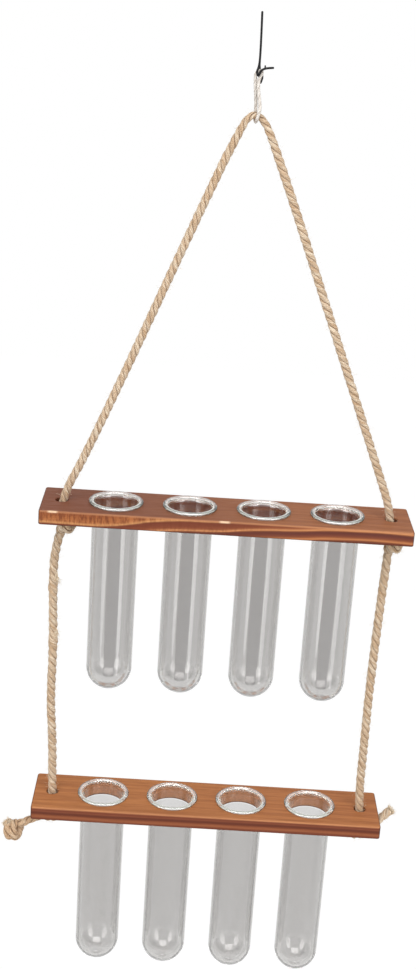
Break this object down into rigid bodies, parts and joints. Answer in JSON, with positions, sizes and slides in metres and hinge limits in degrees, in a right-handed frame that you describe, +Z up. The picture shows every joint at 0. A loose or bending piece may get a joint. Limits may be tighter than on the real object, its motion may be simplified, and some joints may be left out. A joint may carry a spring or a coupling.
{
  "type": "hanging propagation vase",
  "caption": "Hanging propagation vase: round-bottomed glass tubes stand in two-tier wooden boards on a knotted jute rope, hung by a cord loop and a wire.",
  "frame": {"origin": "upper end of the wire, by which the rack hangs", "axes": "+Z up; X along the boards, +X to the right seen from the front; -Y is the front"},
  "size_m": [0.2297, 0.038, 0.5473],
  "materials": {
    "black_wire": "satin black",
    "white_cord": "twisted cotton",
    "jute_rope": "three-strand, hairy",
    "stained_wood": "stained, satin",
    "clear_glass": "clear, polished"
  },
  "bodies": {
    "hanger": {"wire_hanger": "black_wire"},
    "cord_loop": {"hanging_loop": "white_cord"},
    "sling": {"sling_rope": "jute_rope"},
    "upper_shelf": {"upper_board": "stained_wood"},
    "upper_left_knot": {"upper_left_knot": "jute_rope"},
    "upper_right_knot": {"upper_right_knot": "jute_rope"},
    "left_drop": {"left_drop_rope": "jute_rope"},
    "right_drop": {"right_drop_rope": "jute_rope"},
    "lower_left_knot": {"lower_left_knot": "jute_rope", "left_tail": "jute_rope", "left_end_knot": "jute_rope"},
    "lower_right_knot": {"lower_right_knot": "jute_rope", "right_tail": "jute_rope"},
    "lower_shelf": {"lower_board": "stained_wood"},
    "upper_tube_1": {"upper_tube_1": "clear_glass"},
    "upper_tube_2": {"upper_tube_2": "clear_glass"},
    "upper_tube_3": {"upper_tube_3": "clear_glass"},
    "upper_tube_4": {"upper_tube_4": "clear_glass"},
    "lower_tube_1": {"lower_tube_1": "clear_glass"},
    "lower_tube_2": {"lower_tube_2": "clear_glass"},
    "lower_tube_3": {"lower_tube_3": "clear_glass"},
    "lower_tube_4": {"lower_tube_4": "clear_glass"}
  },
  "joints": [
    {"name": "loop_swing", "type": "hinge", "parent": "hanger", "child": "cord_loop", "pos_m": [0, 0, -0.0304], "axis": [1, 0, 0], "range_deg": [-20, 20]},
    {"name": "sling_rock", "type": "hinge", "parent": "cord_loop", "child": "sling", "pos_m": [0, 0, -0.0495], "axis": [0, 1, 0], "range_deg": [-15, 15]},
    {"name": "upper_board_tilt", "type": "hinge", "parent": "sling", "child": "upper_shelf", "pos_m": [0, 0, -0.261], "axis": [1, 0, 0], "range_deg": [-8, 8]},
    {"name": "left_knot_roll", "type": "hinge", "parent": "sling", "child": "upper_left_knot", "pos_m": [-0.0873, 0, -0.27064], "axis": [1, 0, 0], "range_deg": [-15, 15]},
    {"name": "right_knot_roll", "type": "hinge", "parent": "sling", "child": "upper_right_knot", "pos_m": [0.0917, 0, -0.27064], "axis": [1, 0, 0], "range_deg": [-15, 15]},
    {"name": "left_drop_sway", "type": "hinge", "parent": "upper_left_knot", "child": "left_drop", "pos_m": [-0.0895, 0, -0.27857], "axis": [0, 1, 0], "range_deg": [-8, 8]},
    {"name": "right_drop_sway", "type": "hinge", "parent": "upper_right_knot", "child": "right_drop", "pos_m": [0.0895, 0, -0.27857], "axis": [0, 1, 0], "range_deg": [-8, 8]},
    {"name": "lower_left_knot_level", "type": "hinge", "parent": "left_drop", "child": "lower_left_knot", "pos_m": [-0.0895, 0, -0.4344], "axis": [0, 1, 0], "range_deg": [-8, 8]},
    {"name": "lower_right_knot_level", "type": "hinge", "parent": "right_drop", "child": "lower_right_knot", "pos_m": [0.0895, 0, -0.4344], "axis": [0, 1, 0], "range_deg": [-8, 8]},
    {"name": "lower_board_tilt", "type": "hinge", "parent": "lower_left_knot", "child": "lower_shelf", "pos_m": [0, 0, -0.441], "axis": [1, 0, 0], "range_deg": [-8, 8]},
    {"name": "upper_tube_1_lift", "type": "slide", "parent": "upper_shelf", "child": "upper_tube_1", "axis": [0, 0, 1], "range_m": [0, 0.027]},
    {"name": "upper_tube_2_lift", "type": "slide", "parent": "upper_shelf", "child": "upper_tube_2", "axis": [0, 0, 1], "range_m": [0, 0.118]},
    {"name": "upper_tube_3_lift", "type": "slide", "parent": "upper_shelf", "child": "upper_tube_3", "axis": [0, 0, 1], "range_m": [0, 0.118]},
    {"name": "upper_tube_4_lift", "type": "slide", "parent": "upper_shelf", "child": "upper_tube_4", "axis": [0, 0, 1], "range_m": [0, 0.027]},
    {"name": "lower_tube_1_lift", "type": "slide", "parent": "lower_shelf", "child": "lower_tube_1", "axis": [0, 0, 1], "range_m": [0, 0.048]},
    {"name": "lower_tube_2_lift", "type": "slide", "parent": "lower_shelf", "child": "lower_tube_2", "axis": [0, 0, 1], "range_m": [0, 0.048]},
    {"name": "lower_tube_3_lift", "type": "slide", "parent": "lower_shelf", "child": "lower_tube_3", "axis": [0, 0, 1], "range_m": [0, 0.048]},
    {"name": "lower_tube_4_lift", "type": "slide", "parent": "lower_shelf", "child": "lower_tube_4", "axis": [0, 0, 1], "range_m": [0, 0.048]}
  ],
  "couplings": [
    {"joint": "right_knot_roll", "follows": "left_knot_roll", "ratio": 1},
    {"joint": "right_drop_sway", "follows": "left_drop_sway", "ratio": 1},
    {"joint": "lower_left_knot_level", "follows": "left_drop_sway", "ratio": -1},
    {"joint": "lower_right_knot_level", "follows": "left_drop_sway", "ratio": -1}
  ]
}
